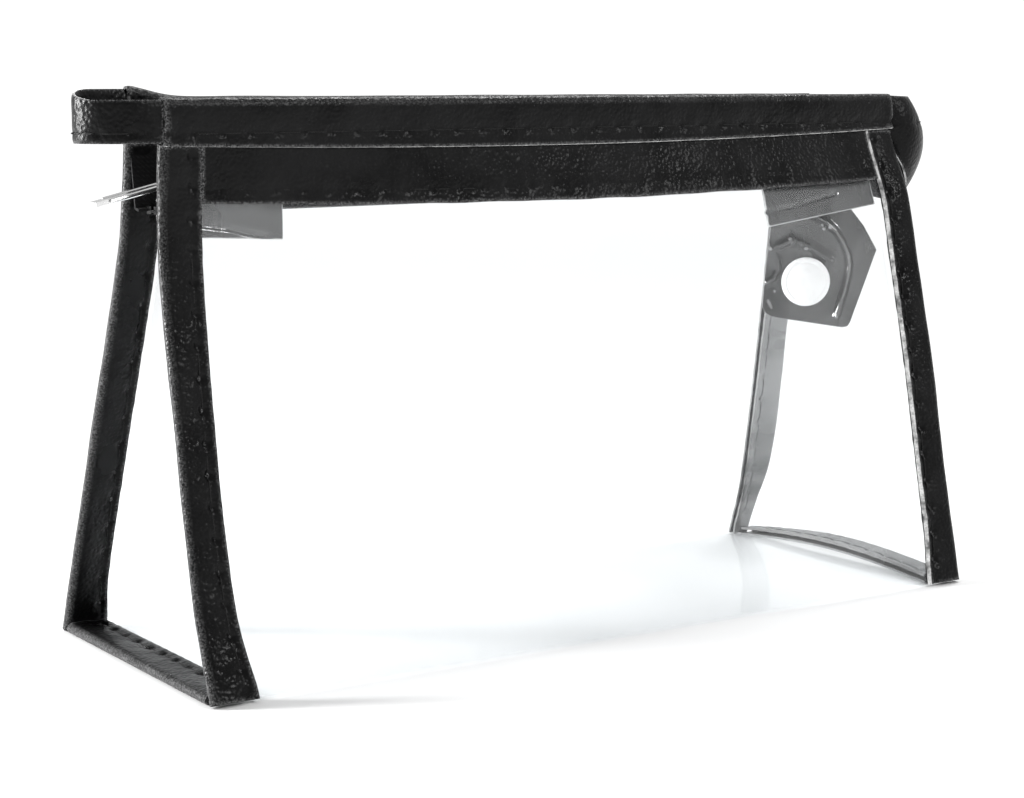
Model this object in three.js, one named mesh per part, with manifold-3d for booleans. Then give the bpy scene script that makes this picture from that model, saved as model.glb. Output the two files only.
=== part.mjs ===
// Clear makeup bag: a triangular pouch of clear vinyl, bound in black coated fabric, with a zip mouth.
// Millimetres, +Z up, +X towards the end with the inner tab, -Y is the front. Origin: middle of the base.
import * as THREE from 'three';
import { mergeVertices } from 'three/addons/utils/BufferGeometryUtils.js';
import Module from 'manifold-3d';

const wasm = await Module();
wasm.setup();
const { lerp } = THREE.MathUtils;

// Driving dimensions
const HEIGHT = 120;
const HALF_BODY = 93.5;        // middle to the plane of an end panel
const RIM = 9;                 // how far a binding stands out past its end panel
const HALF_DEPTH = 38;         // middle to the front or back edge of the base
const FILM = 0.4;              // clear vinyl
const SKIN = 0.6;              // coated fabric
const GAP = 0.3;               // clearance between layers
const BINDING = 2.2;           // folded binding, both leaves
const END_TOP = 94.4;          // upper edge of an end panel
const BAND_TOP = 113;
const BAND_LOW_END = 99;       // lower edge of a band at its ends
const BAND_LOW_MIDDLE = 97;
const TRIM_LOW = 110.5;        // lower edge of the mouth's folded trim
const TRIM = 3.4;              // mouth trim, both leaves
const TRIM_OUT = 0.3;          // middle of the trim, outside the middle of the film
const ZIP_HEIGHT = 97.4;
const ZIP_HALF = 98.6;         // half length of the rows of teeth
const TEETH_INNER = 0.6;       // across from the middle of the zip
const TEETH_OUTER = 2.4;
const TEETH_THICK = 1.6;
const TAPE = 0.5;
const OUTER_X = HALF_BODY + RIM;

// End profiles: [height, depth] of the front and back sheets, at the left and right ends.
const FRONT_LEFT = [[0, -38], [20, -31], [52, -24.5], [90, -18.2], [120, -20]];
const FRONT_RIGHT = [[0, -38], [20, -33.2], [55, -26], [80, -20], [95, -16.2], [110, -9.4], [120, -8.4]];
const BACK_LEFT = [[0, 38], [46, 19], [88, 1.6], [102, -1.6], [120, -3.6]];
const BACK_RIGHT = [[0, 38], [27, 33.5], [63, 28.5], [97, 24.5], [120, 21]];

const LOOKS = {
  vinyl: { color: 0xf4f8fa, roughness: 0.08, metalness: 0, transparent: true, opacity: 0.25 },
  cover: { color: 0x0c0c0d, roughness: 0.38, metalness: 0 },
  tape: { color: 0x18181a, roughness: 0.85, metalness: 0 },
  teeth: { color: 0x202022, roughness: 0.5, metalness: 0 },
  steel: { color: 0xc9cbcd, roughness: 0.22, metalness: 1 },
  cap: { color: 0xfafafa, roughness: 0.3, metalness: 0 },
};

const bag = new THREE.Group();

function add(name, geometry, look, parent = bag) {
  const mesh = new THREE.Mesh(geometry, new THREE.MeshStandardMaterial(LOOKS[look]));
  mesh.name = name;
  parent.add(mesh);
  return mesh;
}

// A smooth curve through [height, depth] points, read as depth at a height.
function profile(points) {
  const slopes = points.map((point, i) => {
    const before = points[Math.max(i - 1, 0)];
    const after = points[Math.min(i + 1, points.length - 1)];
    return (after[1] - before[1]) / (after[0] - before[0]);
  });
  return (height) => {
    let i = 0;
    while (i < points.length - 2 && height > points[i + 1][0]) i += 1;
    const span = points[i + 1][0] - points[i][0];
    const t = (height - points[i][0]) / span;
    const t2 = t * t;
    const t3 = t2 * t;
    return (2 * t3 - 3 * t2 + 1) * points[i][1] + (t3 - 2 * t2 + t) * span * slopes[i]
      + (3 * t2 - 2 * t3) * points[i + 1][1] + (t3 - t2) * span * slopes[i + 1];
  };
}

function ruled(leftPoints, rightPoints) {
  const left = profile(leftPoints);
  const right = profile(rightPoints);
  return (x, z) => lerp(left(z), right(z), (x + OUTER_X) / (2 * OUTER_X));
}

const frontY = ruled(FRONT_LEFT, FRONT_RIGHT);
const backY = ruled(BACK_LEFT, BACK_RIGHT);

// A point of the front or back sheet at (x, z), moved `out` along the sheet's outward normal.
function onSheet(depthAt, side, x, z, out) {
  const step = 0.5;
  const point = (px, pz) => new THREE.Vector3(px, depthAt(px, pz), pz);
  const alongX = point(x + step, z).sub(point(x - step, z));
  const alongZ = point(x, z + step).sub(point(x, z - step));
  const normal = alongX.cross(alongZ).normalize().multiplyScalar(side);
  return point(x, z).addScaledVector(normal, out);
}

const onFront = (x, z, out) => onSheet(frontY, 1, x, z, out);
const onBack = (x, z, out) => onSheet(backY, -1, x, z, out);

// A board bent by a rule: at(u, v, w) gives the place of each point, with u and v from 0 to 1 and
// w from -0.5 to 0.5 through the thickness.
function bent(uSteps, vSteps, at) {
  const box = new THREE.BoxGeometry(1, 1, 1, uSteps, vSteps, 1);
  box.deleteAttribute('normal');
  box.deleteAttribute('uv');
  const solid = mergeVertices(box, 1e-6);
  const place = solid.attributes.position;
  for (let i = 0; i < place.count; i += 1) {
    const p = at(place.getX(i) + 0.5, place.getY(i) + 0.5, place.getZ(i));
    place.setXYZ(i, p.x, p.y, p.z);
  }
  return outward(solid);
}

// Turns the faces round where a rule has mirrored the board.
function outward(solid) {
  const place = solid.attributes.position;
  const order = solid.index.array;
  const corner = (k) => new THREE.Vector3().fromBufferAttribute(place, order[k]);
  let volume = 0;
  for (let k = 0; k < order.length; k += 3) {
    volume += corner(k).dot(corner(k + 1).cross(corner(k + 2)));
  }
  if (volume < 0) {
    for (let k = 0; k < order.length; k += 3) {
      [order[k + 1], order[k + 2]] = [order[k + 2], order[k + 1]];
    }
  }
  solid.computeVertexNormals();
  return solid;
}

// The path round a folded strip in its own section: [distance along the leaf, height off the middle].
// v runs from the edge of one leaf, round the fold, to the edge of the other.
function foldPath(v, near, nearBack, far, half) {
  const turn = 0.2;
  if (v < 0.5 - turn) {
    const t = v / (0.5 - turn);
    return [lerp(near, far - half, t), half];
  }
  if (v > 0.5 + turn) {
    const t = (v - 0.5 - turn) / (0.5 - turn);
    return [lerp(far - half, nearBack, t), -half];
  }
  const angle = ((v - 0.5 + turn) / (2 * turn)) * Math.PI;
  return [far - half + half * Math.sin(angle), half * Math.cos(angle)];
}

// A strip folded over an edge. frame(u, along, off) places a point of the section at u.
function foldedStrip(uSteps, section, frame) {
  const { near, nearBack, far, thick } = section;
  const half = (thick - SKIN) / 2;
  const vSteps = 10;
  return bent(uSteps, vSteps, (u, v, w) => {
    const small = 1e-3;
    const [a, b] = foldPath(v, near, nearBack, far, half);
    const [a0, b0] = foldPath(Math.max(v - small, 0), near, nearBack, far, half);
    const [a1, b1] = foldPath(Math.min(v + small, 1), near, nearBack, far, half);
    const length = Math.hypot(a1 - a0, b1 - b0);
    const shift = (w * SKIN) / length;
    return frame(u, a - (b1 - b0) * shift, b + (a1 - a0) * shift);
  });
}

// Clear panels
const panelSteps = { x: 8, z: 10 };
const PANEL_TOP = 106.5;
const PANEL_FOOT = 0.3;
const PANEL_INSET = 1.8;       // the panels stop inside the fold of the bindings
const panelHalf = OUTER_X - PANEL_INSET;
add('front_panel', bent(panelSteps.x, panelSteps.z, (u, v, w) => onFront(
  lerp(-panelHalf, panelHalf, u), lerp(PANEL_FOOT, PANEL_TOP, v), w * FILM)), 'vinyl');
add('back_panel', bent(panelSteps.x, panelSteps.z, (u, v, w) => onBack(
  lerp(-panelHalf, panelHalf, u), lerp(PANEL_FOOT, PANEL_TOP, v), w * FILM)), 'vinyl');
const baseHalf = HALF_BODY - 1;
const baseDepth = HALF_DEPTH - 1;
add('base_panel', bent(6, 4, (u, v, w) => new THREE.Vector3(
  lerp(-baseHalf, baseHalf, u), lerp(-baseDepth, baseDepth, v), FILM * (w + 0.5))), 'vinyl');

const END_CLEAR = 1.6;
for (const [side, label] of [[-1, 'left'], [1, 'right']]) {
  const x = side * HALF_BODY;
  add(`end_panel_${label}`, bent(4, panelSteps.z, (u, v, w) => {
    const z = lerp(BINDING + GAP, END_TOP, v);
    const px = x + w * FILM;
    return new THREE.Vector3(px, lerp(frontY(x, z) + END_CLEAR, backY(x, z) - END_CLEAR, u), z);
  }), 'vinyl');
}

// End bindings: one folded strip down each leg and one along the base, at each end
const LEG_TOP = 105.4;
const LEG_FOOT = 0.5;
const LEAF_STEP = 0.8;         // the inner leaf is cut this much shorter
const legSteps = 12;
const legSection = { near: 0, nearBack: LEAF_STEP, far: RIM, thick: BINDING };
const BASE_CLEAR = 2.6;        // between a base binding's end and the edge of the base
for (const [side, label] of [[-1, 'left'], [1, 'right']]) {
  const edge = side * HALF_BODY;
  const leg = (place) => foldedStrip(legSteps, legSection, (u, along, off) => place(
    edge + side * along, lerp(LEG_FOOT, LEG_TOP, u), off));
  add(`front_${label}_binding`, leg(onFront), 'cover');
  add(`back_${label}_binding`, leg(onBack), 'cover');
  add(`base_${label}_binding`, foldedStrip(4, legSection, (u, along, off) => new THREE.Vector3(
    edge + side * along, lerp(-HALF_DEPTH + BASE_CLEAR, HALF_DEPTH - BASE_CLEAR, u),
    BINDING / 2 - off)), 'cover');
}

// Bands sewn over the upper edge of the front and back panels
const BAND_INSET = 0.5;
const bandHalf = HALF_BODY - BAND_INSET;
const BAND_OUT = FILM / 2 + GAP + SKIN / 2;
const bandLow = (x) => lerp(BAND_LOW_MIDDLE, BAND_LOW_END, (x / HALF_BODY) ** 2);
for (const [name, place] of [['front_band', onFront], ['back_band', onBack]]) {
  add(name, bent(10, 3, (u, v, w) => {
    const x = lerp(-bandHalf, bandHalf, u);
    return place(x, lerp(bandLow(x), BAND_TOP, v), BAND_OUT + w * SKIN);
  }), 'cover');
}

// Folded trim over the upper edge of the mouth
const TRIM_STEP = 1;           // the inner leaf ends this much higher
const trimSection = { near: TRIM_LOW, nearBack: TRIM_LOW + TRIM_STEP, far: HEIGHT, thick: TRIM };
for (const [name, place] of [['front_mouth_trim', onFront], ['back_mouth_trim', onBack]]) {
  add(name, foldedStrip(8, trimSection, (u, along, off) => place(
    lerp(-OUTER_X, OUTER_X, u), along, off + TRIM_OUT)), 'cover');
}

// Carrying loops: the trim runs on past each end and comes back to the other side
const LOOP_SKIN = 1.2;
const LOOP_GAP = 0.4;
function loop(name, route, heights) {
  const path = new THREE.CatmullRomCurve3(route.map(([x, y]) => new THREE.Vector3(x, y, 0)), false,
    'centripetal');
  add(name, bent(28, 4, (u, v, w) => {
    const p = path.getPoint(u);
    const t = path.getTangent(u);
    const { low, high, bulge } = heights(u);
    const out = w * LOOP_SKIN + bulge * Math.sin(Math.PI * v);
    return new THREE.Vector3(p.x + t.y * out, p.y - t.x * out, lerp(low, high, v));
  }), 'cover');
}

const LOOP_LEVEL = 115;        // the loops start from the sheets at this height
const leftX = -OUTER_X - LOOP_GAP;
const leftRoute = [[leftX, frontY(leftX, LOOP_LEVEL)], [-109, -19.4], [-114.8, -16.6], [-117, -12],
  [-115, -7.6], [-109.5, -4.8], [leftX, backY(leftX, LOOP_LEVEL)]];
loop('left_loop', leftRoute, () => ({ low: TRIM_LOW, high: HEIGHT, bulge: 0 }));

// At the right end the fold of the trim has opened out, so the loop is wide and rounds outward.
const LOOP_BULGE = 5;
const LOOP_LOWEST = 93;
const LOOP_DIP = 0.5;          // of its upper edge
const LOOP_ROUNDNESS = 0.7;    // below 1, it opens sooner from its ends
const rightX = OUTER_X + LOOP_GAP;
const rightRoute = [[rightX, backY(rightX, LOOP_LEVEL)], [110, 19.5], [114.6, 12], [115.6, 3],
  [113.5, -4], [108.5, -8.6], [rightX, frontY(rightX, LOOP_LEVEL)]];
loop('right_loop', rightRoute, (u) => {
  const open = Math.sin(Math.PI * u) ** LOOP_ROUNDNESS;
  const low = lerp(TRIM_LOW, LOOP_LOWEST, open);
  return { low, high: HEIGHT - LOOP_DIP * open, bulge: -LOOP_BULGE * open };
});

// Zip: the rows of teeth lie on one straight line, turned to follow the mouth
const mouthY = (x) => (frontY(x, ZIP_HEIGHT) + backY(x, ZIP_HEIGHT)) / 2;
const zipYaw = Math.atan2(mouthY(ZIP_HALF) - mouthY(-ZIP_HALF), 2 * ZIP_HALF);
const zip = new THREE.Group();
zip.position.set(0, (mouthY(ZIP_HALF) + mouthY(-ZIP_HALF)) / 2, ZIP_HEIGHT);
zip.rotation.z = zipYaw;
bag.add(zip);
zip.updateMatrixWorld(true);
const fromZip = (x, y, z) => zip.localToWorld(new THREE.Vector3(x, y, z));

const TAPE_TOP = 114.5;
const TAPE_TURN = 110.8;
const TAPE_HALF = 101.8;
const TAPE_OUT = -0.25;
const TAPE_FLAT = 4.4;         // half width of the flat run on which the slider travels

// The tape's path at x: flat beside the teeth, up the side of the mouth, then inside the trim.
function tapeRoute(place, side, x) {
  return [
    fromZip(x, side * (TEETH_OUTER + GAP), 0),
    fromZip(x, side * TAPE_FLAT, 0),
    place(x, TAPE_TURN, TAPE_OUT),
    place(x, TAPE_TOP, TAPE_OUT),
  ];
}

function alongRoute(route, v) {
  const runs = route.length - 1;
  const i = Math.min(Math.floor(v * runs), runs - 1);
  return route[i].clone().lerp(route[i + 1], v * runs - i);
}

for (const [name, place, side] of [['zip_tape_front', onFront, -1], ['zip_tape_back', onBack, 1]]) {
  add(name, bent(10, 6, (u, v, w) => {
    const route = tapeRoute(place, side, lerp(-TAPE_HALF, TAPE_HALF, u));
    const step = 0.01;
    const run = alongRoute(route, Math.min(v + step, 1)).sub(alongRoute(route, Math.max(v - step, 0)));
    const across = new THREE.Vector3(0, -run.z, run.y).normalize();
    return alongRoute(route, v).addScaledVector(across, w * TAPE);
  }), 'tape');
}

function block(width, depth, height) {
  return new THREE.BoxGeometry(width, depth, height);
}

for (const [name, side] of [['zip_teeth_front', -1], ['zip_teeth_back', 1]]) {
  const row = add(name, block(2 * ZIP_HALF, TEETH_OUTER - TEETH_INNER, TEETH_THICK), 'teeth', zip);
  row.position.y = (side * (TEETH_OUTER + TEETH_INNER)) / 2;
}
const STOP = 1.2;
for (const [name, side] of [['zip_top_stop_front', -1], ['zip_top_stop_back', 1]]) {
  const stop = add(name, block(STOP, TEETH_OUTER - TEETH_INNER, TEETH_THICK), 'steel', zip);
  stop.position.set(-ZIP_HALF - GAP - STOP / 2, (side * (TEETH_OUTER + TEETH_INNER)) / 2, 0);
}
const bottomStop = add('zip_bottom_stop', block(STOP, 2 * TEETH_OUTER, TEETH_THICK), 'steel', zip);
bottomStop.position.set(ZIP_HALF + GAP + STOP / 2, 0, 0);

// Slider: two plates on a web, with a bridge that holds the pull's pin
function solidOf(geometry) {
  const plain = geometry.index ? geometry : mergeVertices(geometry);
  plain.deleteAttribute('normal');
  plain.deleteAttribute('uv');
  const merged = mergeVertices(plain, 1e-5);
  return new wasm.Manifold(new wasm.Mesh({
    numProp: 3,
    vertProperties: new Float32Array(merged.attributes.position.array),
    triVerts: new Uint32Array(merged.index.array),
  }));
}

function geometryOf(solid) {
  const mesh = solid.getMesh();
  const geometry = new THREE.BufferGeometry();
  geometry.setAttribute('position', new THREE.BufferAttribute(new Float32Array(mesh.vertProperties), 3));
  geometry.setIndex(new THREE.BufferAttribute(new Uint32Array(mesh.triVerts), 1));
  geometry.computeVertexNormals();
  return geometry;
}

const SLIDER_LENGTH = 9;
const SLIDER_WIDTH = 7;
const WEB_LENGTH = 4.5;        // the web that joins the plates, between the rows of teeth
const WEB_X = -1.2;
const PLATE = 1.1;
const PLATE_OFF = TEETH_THICK / 2 + GAP + PLATE / 2;
const BRIDGE_WIDTH = 1.6;
const BRIDGE_RISE = 5;
const BRIDGE_OPEN = 4.1;
const PIVOT_UP = PLATE_OFF + PLATE / 2 + 3.2;   // height of the pin over the teeth
const PIN_RADIUS = 0.6;
const SLIDER_START = 4.8;      // its middle, from the end of the teeth
const sliderX = -ZIP_HALF + SLIDER_START;
const PIVOT_X = -2.5;          // pin, from the middle of the slider

function sliderPlate() {
  const half = SLIDER_LENGTH / 2;
  const wide = SLIDER_WIDTH / 2;
  const shape = new THREE.Shape();
  shape.moveTo(half, -wide * 0.62);
  shape.quadraticCurveTo(half - 2, -wide * 0.66, half - 4.4, -wide);
  shape.quadraticCurveTo(-half, -wide, -half, -wide * 0.45);
  shape.lineTo(-half + 0.9, 0);
  shape.lineTo(-half, wide * 0.45);
  shape.quadraticCurveTo(-half, wide, half - 4.4, wide);
  shape.quadraticCurveTo(half - 2, wide * 0.66, half, wide * 0.62);
  shape.closePath();
  const plate = new THREE.ExtrudeGeometry(shape, { depth: PLATE, bevelEnabled: false, curveSegments: 5 });
  return plate.translate(0, 0, -PLATE / 2);
}

// The bridge is an arch over the plate, cut to leave the pin's slot.
function sliderBridge() {
  const top = PLATE_OFF + PLATE / 2;
  const shape = new THREE.Shape();
  shape.moveTo(-4.3, top - 0.4);
  shape.lineTo(-4.3, top + BRIDGE_RISE * 0.75);
  shape.quadraticCurveTo(-4.0, top + BRIDGE_RISE, -2.4, top + BRIDGE_RISE);
  shape.lineTo(1.6, top + BRIDGE_RISE * 0.86);
  shape.quadraticCurveTo(3.2, top + BRIDGE_RISE * 0.7, 3.4, top - 0.4);
  shape.lineTo(2.2, top - 0.4);
  shape.quadraticCurveTo(2.0, top + BRIDGE_OPEN * 0.9, 1.0, top + BRIDGE_OPEN);
  shape.lineTo(-3.4, top + BRIDGE_OPEN);
  shape.lineTo(-3.4, top - 0.4);
  shape.closePath();
  const arch = new THREE.ExtrudeGeometry(shape, { depth: BRIDGE_WIDTH, bevelEnabled: false,
    curveSegments: 5 });
  return arch.rotateX(Math.PI / 2).translate(0, BRIDGE_WIDTH / 2, 0);
}

const webHeight = 2 * PLATE_OFF;
const slider = solidOf(sliderPlate().translate(0, 0, PLATE_OFF))
  .add(solidOf(sliderPlate().translate(0, 0, -PLATE_OFF)))
  .add(solidOf(block(WEB_LENGTH, 2 * (TEETH_INNER - GAP), webHeight).translate(WEB_X, 0, 0)))
  .add(solidOf(sliderBridge()));
add('zip_slider', geometryOf(slider), 'steel', zip).position.x = sliderX;

// Pull: a pin in the bridge, an open frame of two rolled bars, and a flat tongue at its tip
const PULL_LENGTH = 14.4;
const PULL_TIP = 2.9;
const BAR = 1.2;
const PULL_HALF = 1.9;
const GRIP = 5.4;
const GRIP_THICK = 0.7;
const TIP_WIDTH = 3;
const TIP_THICK = 0.9;
const PULL_SLOPE = THREE.MathUtils.degToRad(12.5);
function bar(length, radius) {
  return new THREE.CylinderGeometry(radius, radius, length, 12).rotateZ(Math.PI / 2);
}
const pin = new THREE.CylinderGeometry(PIN_RADIUS, PIN_RADIUS, 2 * PULL_HALF, 12);
const frameWeb = block(GRIP, 2 * PULL_HALF, GRIP_THICK).translate(-PULL_LENGTH + GRIP / 2, 0, 0);
const pullSolid = [-1, 1].reduce((whole, side) => whole.add(solidOf(
  bar(PULL_LENGTH + BAR / 2, BAR / 2).translate(-PULL_LENGTH / 2 + BAR / 4, side * PULL_HALF, 0))),
solidOf(pin)).add(solidOf(frameWeb));
const pullGroup = new THREE.Group();
pullGroup.position.set(sliderX + PIVOT_X, 0, PIVOT_UP);
pullGroup.rotation.y = -PULL_SLOPE;
zip.add(pullGroup);
add('zip_pull', geometryOf(pullSolid), 'steel', pullGroup);
const tongue = add('zip_pull_tip', block(PULL_TIP, TIP_WIDTH, TIP_THICK), 'steel', pullGroup);
tongue.position.set(-PULL_LENGTH - GAP - PULL_TIP / 2, 0, 0);

// The tails of the zip tape, past its ends, hang between the mouth and the front panel
const TAIL_TOP = 103;
const TAIL_IN = -1.3;          // behind the middle of the front film
const TAIL_INSET = 1;          // between a tail's end and the end panel
// ends and lows: where the tail starts and stops along the bag, and its lower edge at each.
function tail(name, ends, lows) {
  add(name, bent(6, 4, (u, v, w) => onFront(
    lerp(...ends, u), lerp(lerp(...lows, u), TAIL_TOP, v), TAIL_IN + w * TAPE)), 'tape');
}
tail('zip_tail_left', [TAIL_INSET - HALF_BODY, -72], [92, 91]);
tail('zip_tail_right', [HALF_BODY - TAIL_INSET, 57], [93.5, 89]);

// Inner tab with its press stud, hung at the right end and turned across the corner
const TAB_TOP = 94.4;
const TAB_YAW = THREE.MathUtils.degToRad(-30);
const TAB_PLACE = [80.8, -11.2];
const tab = new THREE.Group();
tab.position.set(...TAB_PLACE, 0);
tab.rotation.z = TAB_YAW;
bag.add(tab);

function tabOutline() {
  const shape = new THREE.Shape();
  shape.moveTo(-16, 68);
  shape.quadraticCurveTo(-15.2, 65.8, -11.4, 65);
  shape.lineTo(4.2, 62.6);
  shape.quadraticCurveTo(5.7, 62.4, 6.3, 64);
  shape.lineTo(12.6, 82);
  shape.lineTo(9.2, 88);
  shape.lineTo(4.2, TAB_TOP);
  shape.lineTo(-13.8, TAB_TOP);
  shape.closePath();
  return shape;
}

const tabSheet = new THREE.ExtrudeGeometry(tabOutline(), { depth: FILM, bevelEnabled: false,
  curveSegments: 5 });
tabSheet.rotateX(Math.PI / 2);
add('inner_tab', geometryOf(solidOf(tabSheet)), 'vinyl', tab);
const STUD_RADIUS = 6.1;
const SOCKET_SHARE = 0.75;     // of the cap's radius
const CAP_THICK = 1.8;
const SOCKET_THICK = 1.2;
const studX = -5.3;
const studZ = 74.2;
function disc(radius, thick) {
  return new THREE.CylinderGeometry(radius, radius, thick, 32);
}
add('stud_cap', disc(STUD_RADIUS, CAP_THICK), 'cap', tab)
  .position.set(studX, -FILM - GAP - CAP_THICK / 2, studZ);
add('stud_socket', disc(STUD_RADIUS * SOCKET_SHARE, SOCKET_THICK), 'cap', tab)
  .position.set(studX, GAP + SOCKET_THICK / 2, studZ);

export default bag;
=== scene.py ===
"""Looks of a clear makeup bag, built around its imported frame.

Blender works in metres. The shape rules below work in millimetres, as the frame's source does, with +Z up,
-Y the front and the origin at the middle of the base. MM turns one into the other.
"""
import math

import bpy
import numpy as np
from mathutils import Matrix, Vector

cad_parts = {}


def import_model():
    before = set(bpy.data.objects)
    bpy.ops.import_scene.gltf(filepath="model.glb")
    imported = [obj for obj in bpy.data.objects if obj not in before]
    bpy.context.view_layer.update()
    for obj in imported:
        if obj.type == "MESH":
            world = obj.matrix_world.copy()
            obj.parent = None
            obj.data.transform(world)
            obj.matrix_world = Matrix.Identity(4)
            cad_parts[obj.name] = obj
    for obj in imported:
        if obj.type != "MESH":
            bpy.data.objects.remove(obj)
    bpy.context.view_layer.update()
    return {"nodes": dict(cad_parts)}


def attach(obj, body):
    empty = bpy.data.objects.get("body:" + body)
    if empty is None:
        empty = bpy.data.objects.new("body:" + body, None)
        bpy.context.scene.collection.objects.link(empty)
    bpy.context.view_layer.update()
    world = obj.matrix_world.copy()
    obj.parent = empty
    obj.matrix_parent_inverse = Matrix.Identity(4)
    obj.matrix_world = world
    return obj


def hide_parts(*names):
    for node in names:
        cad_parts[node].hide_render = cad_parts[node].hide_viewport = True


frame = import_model()

MM = 0.001

# Driving dimensions of the frame, in millimetres
HEIGHT = 120
HALF_BODY = 93.5
RIM = 9
HALF_DEPTH = 38
FILM = 0.4
SKIN = 0.6
BINDING = 2.2
TRIM = 3.4
TRIM_OUT = 0.3
END_TOP = 94.4
BAND_TOP = 113
OUTER_X = HALF_BODY + RIM
ZIP_HEIGHT = 97.4
ZIP_HALF = 98.6
TEETH_OUTER = 2.4
TAPE = 0.5
STITCH = 6.4

FRONT_LEFT = [[0, -38], [20, -31], [52, -24.5], [90, -18.2], [120, -20]]
FRONT_RIGHT = [[0, -38], [20, -33.2], [55, -26], [80, -20], [95, -16.2], [110, -9.4], [120, -8.4]]
BACK_LEFT = [[0, 38], [46, 19], [88, 1.6], [102, -1.6], [120, -3.6]]
BACK_RIGHT = [[0, 38], [27, 33.5], [63, 28.5], [97, 24.5], [120, 21]]


# ---------------------------------------------------------------- shape rules

def mix(a, b, t):
    return a + (b - a) * t


def profile(points):
    """A smooth curve through [height, depth] points, read as depth at a height."""
    heights, depths = np.array(points, float).T
    last = len(points) - 1
    before = [max(i - 1, 0) for i in range(last + 1)]
    after = [min(i + 1, last) for i in range(last + 1)]
    slopes = (depths[after] - depths[before]) / (heights[after] - heights[before])

    def depth(z):
        i = np.clip(np.searchsorted(heights, z) - 1, 0, last - 1)
        span = heights[i + 1] - heights[i]
        t = (z - heights[i]) / span
        return (
            (2 * t**3 - 3 * t**2 + 1) * depths[i] + (t**3 - 2 * t**2 + t) * span * slopes[i]
            + (3 * t**2 - 2 * t**3) * depths[i + 1] + (t**3 - t**2) * span * slopes[i + 1]
        )

    return depth


def ruled(left_points, right_points):
    left, right = profile(left_points), profile(right_points)
    return lambda x, z: mix(left(z), right(z), (x + OUTER_X) / (2 * OUTER_X))


front_y = ruled(FRONT_LEFT, FRONT_RIGHT)
back_y = ruled(BACK_LEFT, BACK_RIGHT)


def unit(vectors):
    return vectors / np.linalg.norm(vectors, axis=-1, keepdims=True)


def on_sheet(depth_at, side):
    """place(x, z, out): points of the front or back sheet, moved out along its outward normal."""
    step = 0.5

    def point(x, z):
        return np.stack([x, depth_at(x, z), z], -1)

    def place(x, z, out):
        x, z, out = np.broadcast_arrays(*(np.asarray(k, float) for k in (x, z, out)))
        along_x = point(x + step, z) - point(x - step, z)
        along_z = point(x, z + step) - point(x, z - step)
        return point(x, z) + side * unit(np.cross(along_x, along_z)) * out[..., None]

    return place


on_front = on_sheet(front_y, 1)
on_back = on_sheet(back_y, -1)


def waves(a, b, seed, size):
    """A smooth uneven value from -1 to 1 over two lengths in millimetres, with features of about
    that size."""
    total = 0
    for k in range(1, 6):
        angle = seed * 1.7 + k * 2.399
        turn = 2 * math.pi / (size * (0.7 + 0.23 * k))
        total = total + np.sin(turn * (a * math.cos(angle) + b * math.sin(angle)) + seed * 3.1 * k)
    return total / 3.2


def bell(distance, width):
    return np.exp(-((distance / width) ** 2))


def stitched(along, across, pitch=STITCH, seed=0):
    """How a row of stitches draws the fabric in: along is measured on the row, across from it."""
    to_hole = (along / pitch - np.round(along / pitch)) * pitch
    holes = -0.8 * bell(to_hole, 0.9) * bell(across, 0.9)
    groove = -0.22 * bell(across, 0.8)
    puckers = 0.13 * waves(along, across * 0.3, seed + 5, 3.4) * bell(across, 3.2)
    return holes + groove + puckers


# ---------------------------------------------------------------- meshes

def make_mesh(name, points, faces, materials, indices=None, sharp=50):
    mesh = bpy.data.meshes.new(name)
    mesh.from_pydata((np.asarray(points) * MM).tolist(), [], faces)
    for material in materials:
        mesh.materials.append(material)
    if indices is not None:
        mesh.polygons.foreach_set("material_index", indices)
    mesh.validate()
    corners = np.asarray(points)
    volume = 0.0
    for face in faces:
        for k in range(1, len(face) - 1):
            volume += corners[face[0]] @ np.cross(corners[face[k]], corners[face[k + 1]])
    if volume < 0:
        mesh.flip_normals()
    mesh.shade_smooth()
    mesh.set_sharp_from_angle(angle=math.radians(sharp))
    piece = bpy.data.objects.new(name, mesh)
    bpy.context.scene.collection.objects.link(piece)
    return piece


def board(name, u_steps, v_steps, at, materials):
    """A closed thin sheet. at(u, v, w) places its points, with w -0.5 and 0.5 on its two faces. The second
    material, if there is one, shows on the cut edges where v is 0 or 1, and the third past v 0.4."""
    u, v = np.meshgrid(np.linspace(0, 1, u_steps + 1), np.linspace(0, 1, v_steps + 1), indexing="ij")
    upper, lower = at(u, v, 0.5), at(u, v, -0.5)
    points = np.concatenate([upper.reshape(-1, 3), lower.reshape(-1, 3)])
    row, count = v_steps + 1, (u_steps + 1) * (v_steps + 1)
    faces, indices = [], []
    for i in range(u_steps):
        for j in range(v_steps):
            a, b = i * row + j, (i + 1) * row + j
            faces.append((a, b, b + 1, a + 1))
            faces.append((count + a + 1, count + b + 1, count + b, count + a))
            indices += [2 if len(materials) > 2 and j > 0.4 * v_steps else 0] * 2
    edge = min(len(materials) - 1, 1)
    for i in range(u_steps):
        a, b = i * row, (i + 1) * row
        faces.append((b, a, count + a, count + b))
        faces.append((a + v_steps, b + v_steps, count + b + v_steps, count + a + v_steps))
        indices += [edge, edge]
    for j in range(v_steps):
        a, b = j, u_steps * row + j
        faces.append((a, a + 1, count + a + 1, count + a))
        faces.append((b + 1, b, count + b, count + b + 1))
        indices += [0, 0]
    return make_mesh(name, points, faces, materials, indices)


def fold_path(v, near, near_back, far, half):
    """The section of a folded strip by length: distance along the leaf, height off the middle, and the
    outward direction, for v from the edge of one leaf, round the fold, to the edge of the other."""
    straight, arc, back = far - half - near, math.pi * half, far - half - near_back
    s = v * (straight + arc + back)
    angle = np.clip((s - straight) / half, 0, math.pi)
    along = np.where(s < straight, near + s, far - half - np.maximum(s - straight - arc, 0))
    along = along + half * np.sin(angle)
    return along, half * np.cos(angle), np.sin(angle), np.cos(angle)


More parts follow.
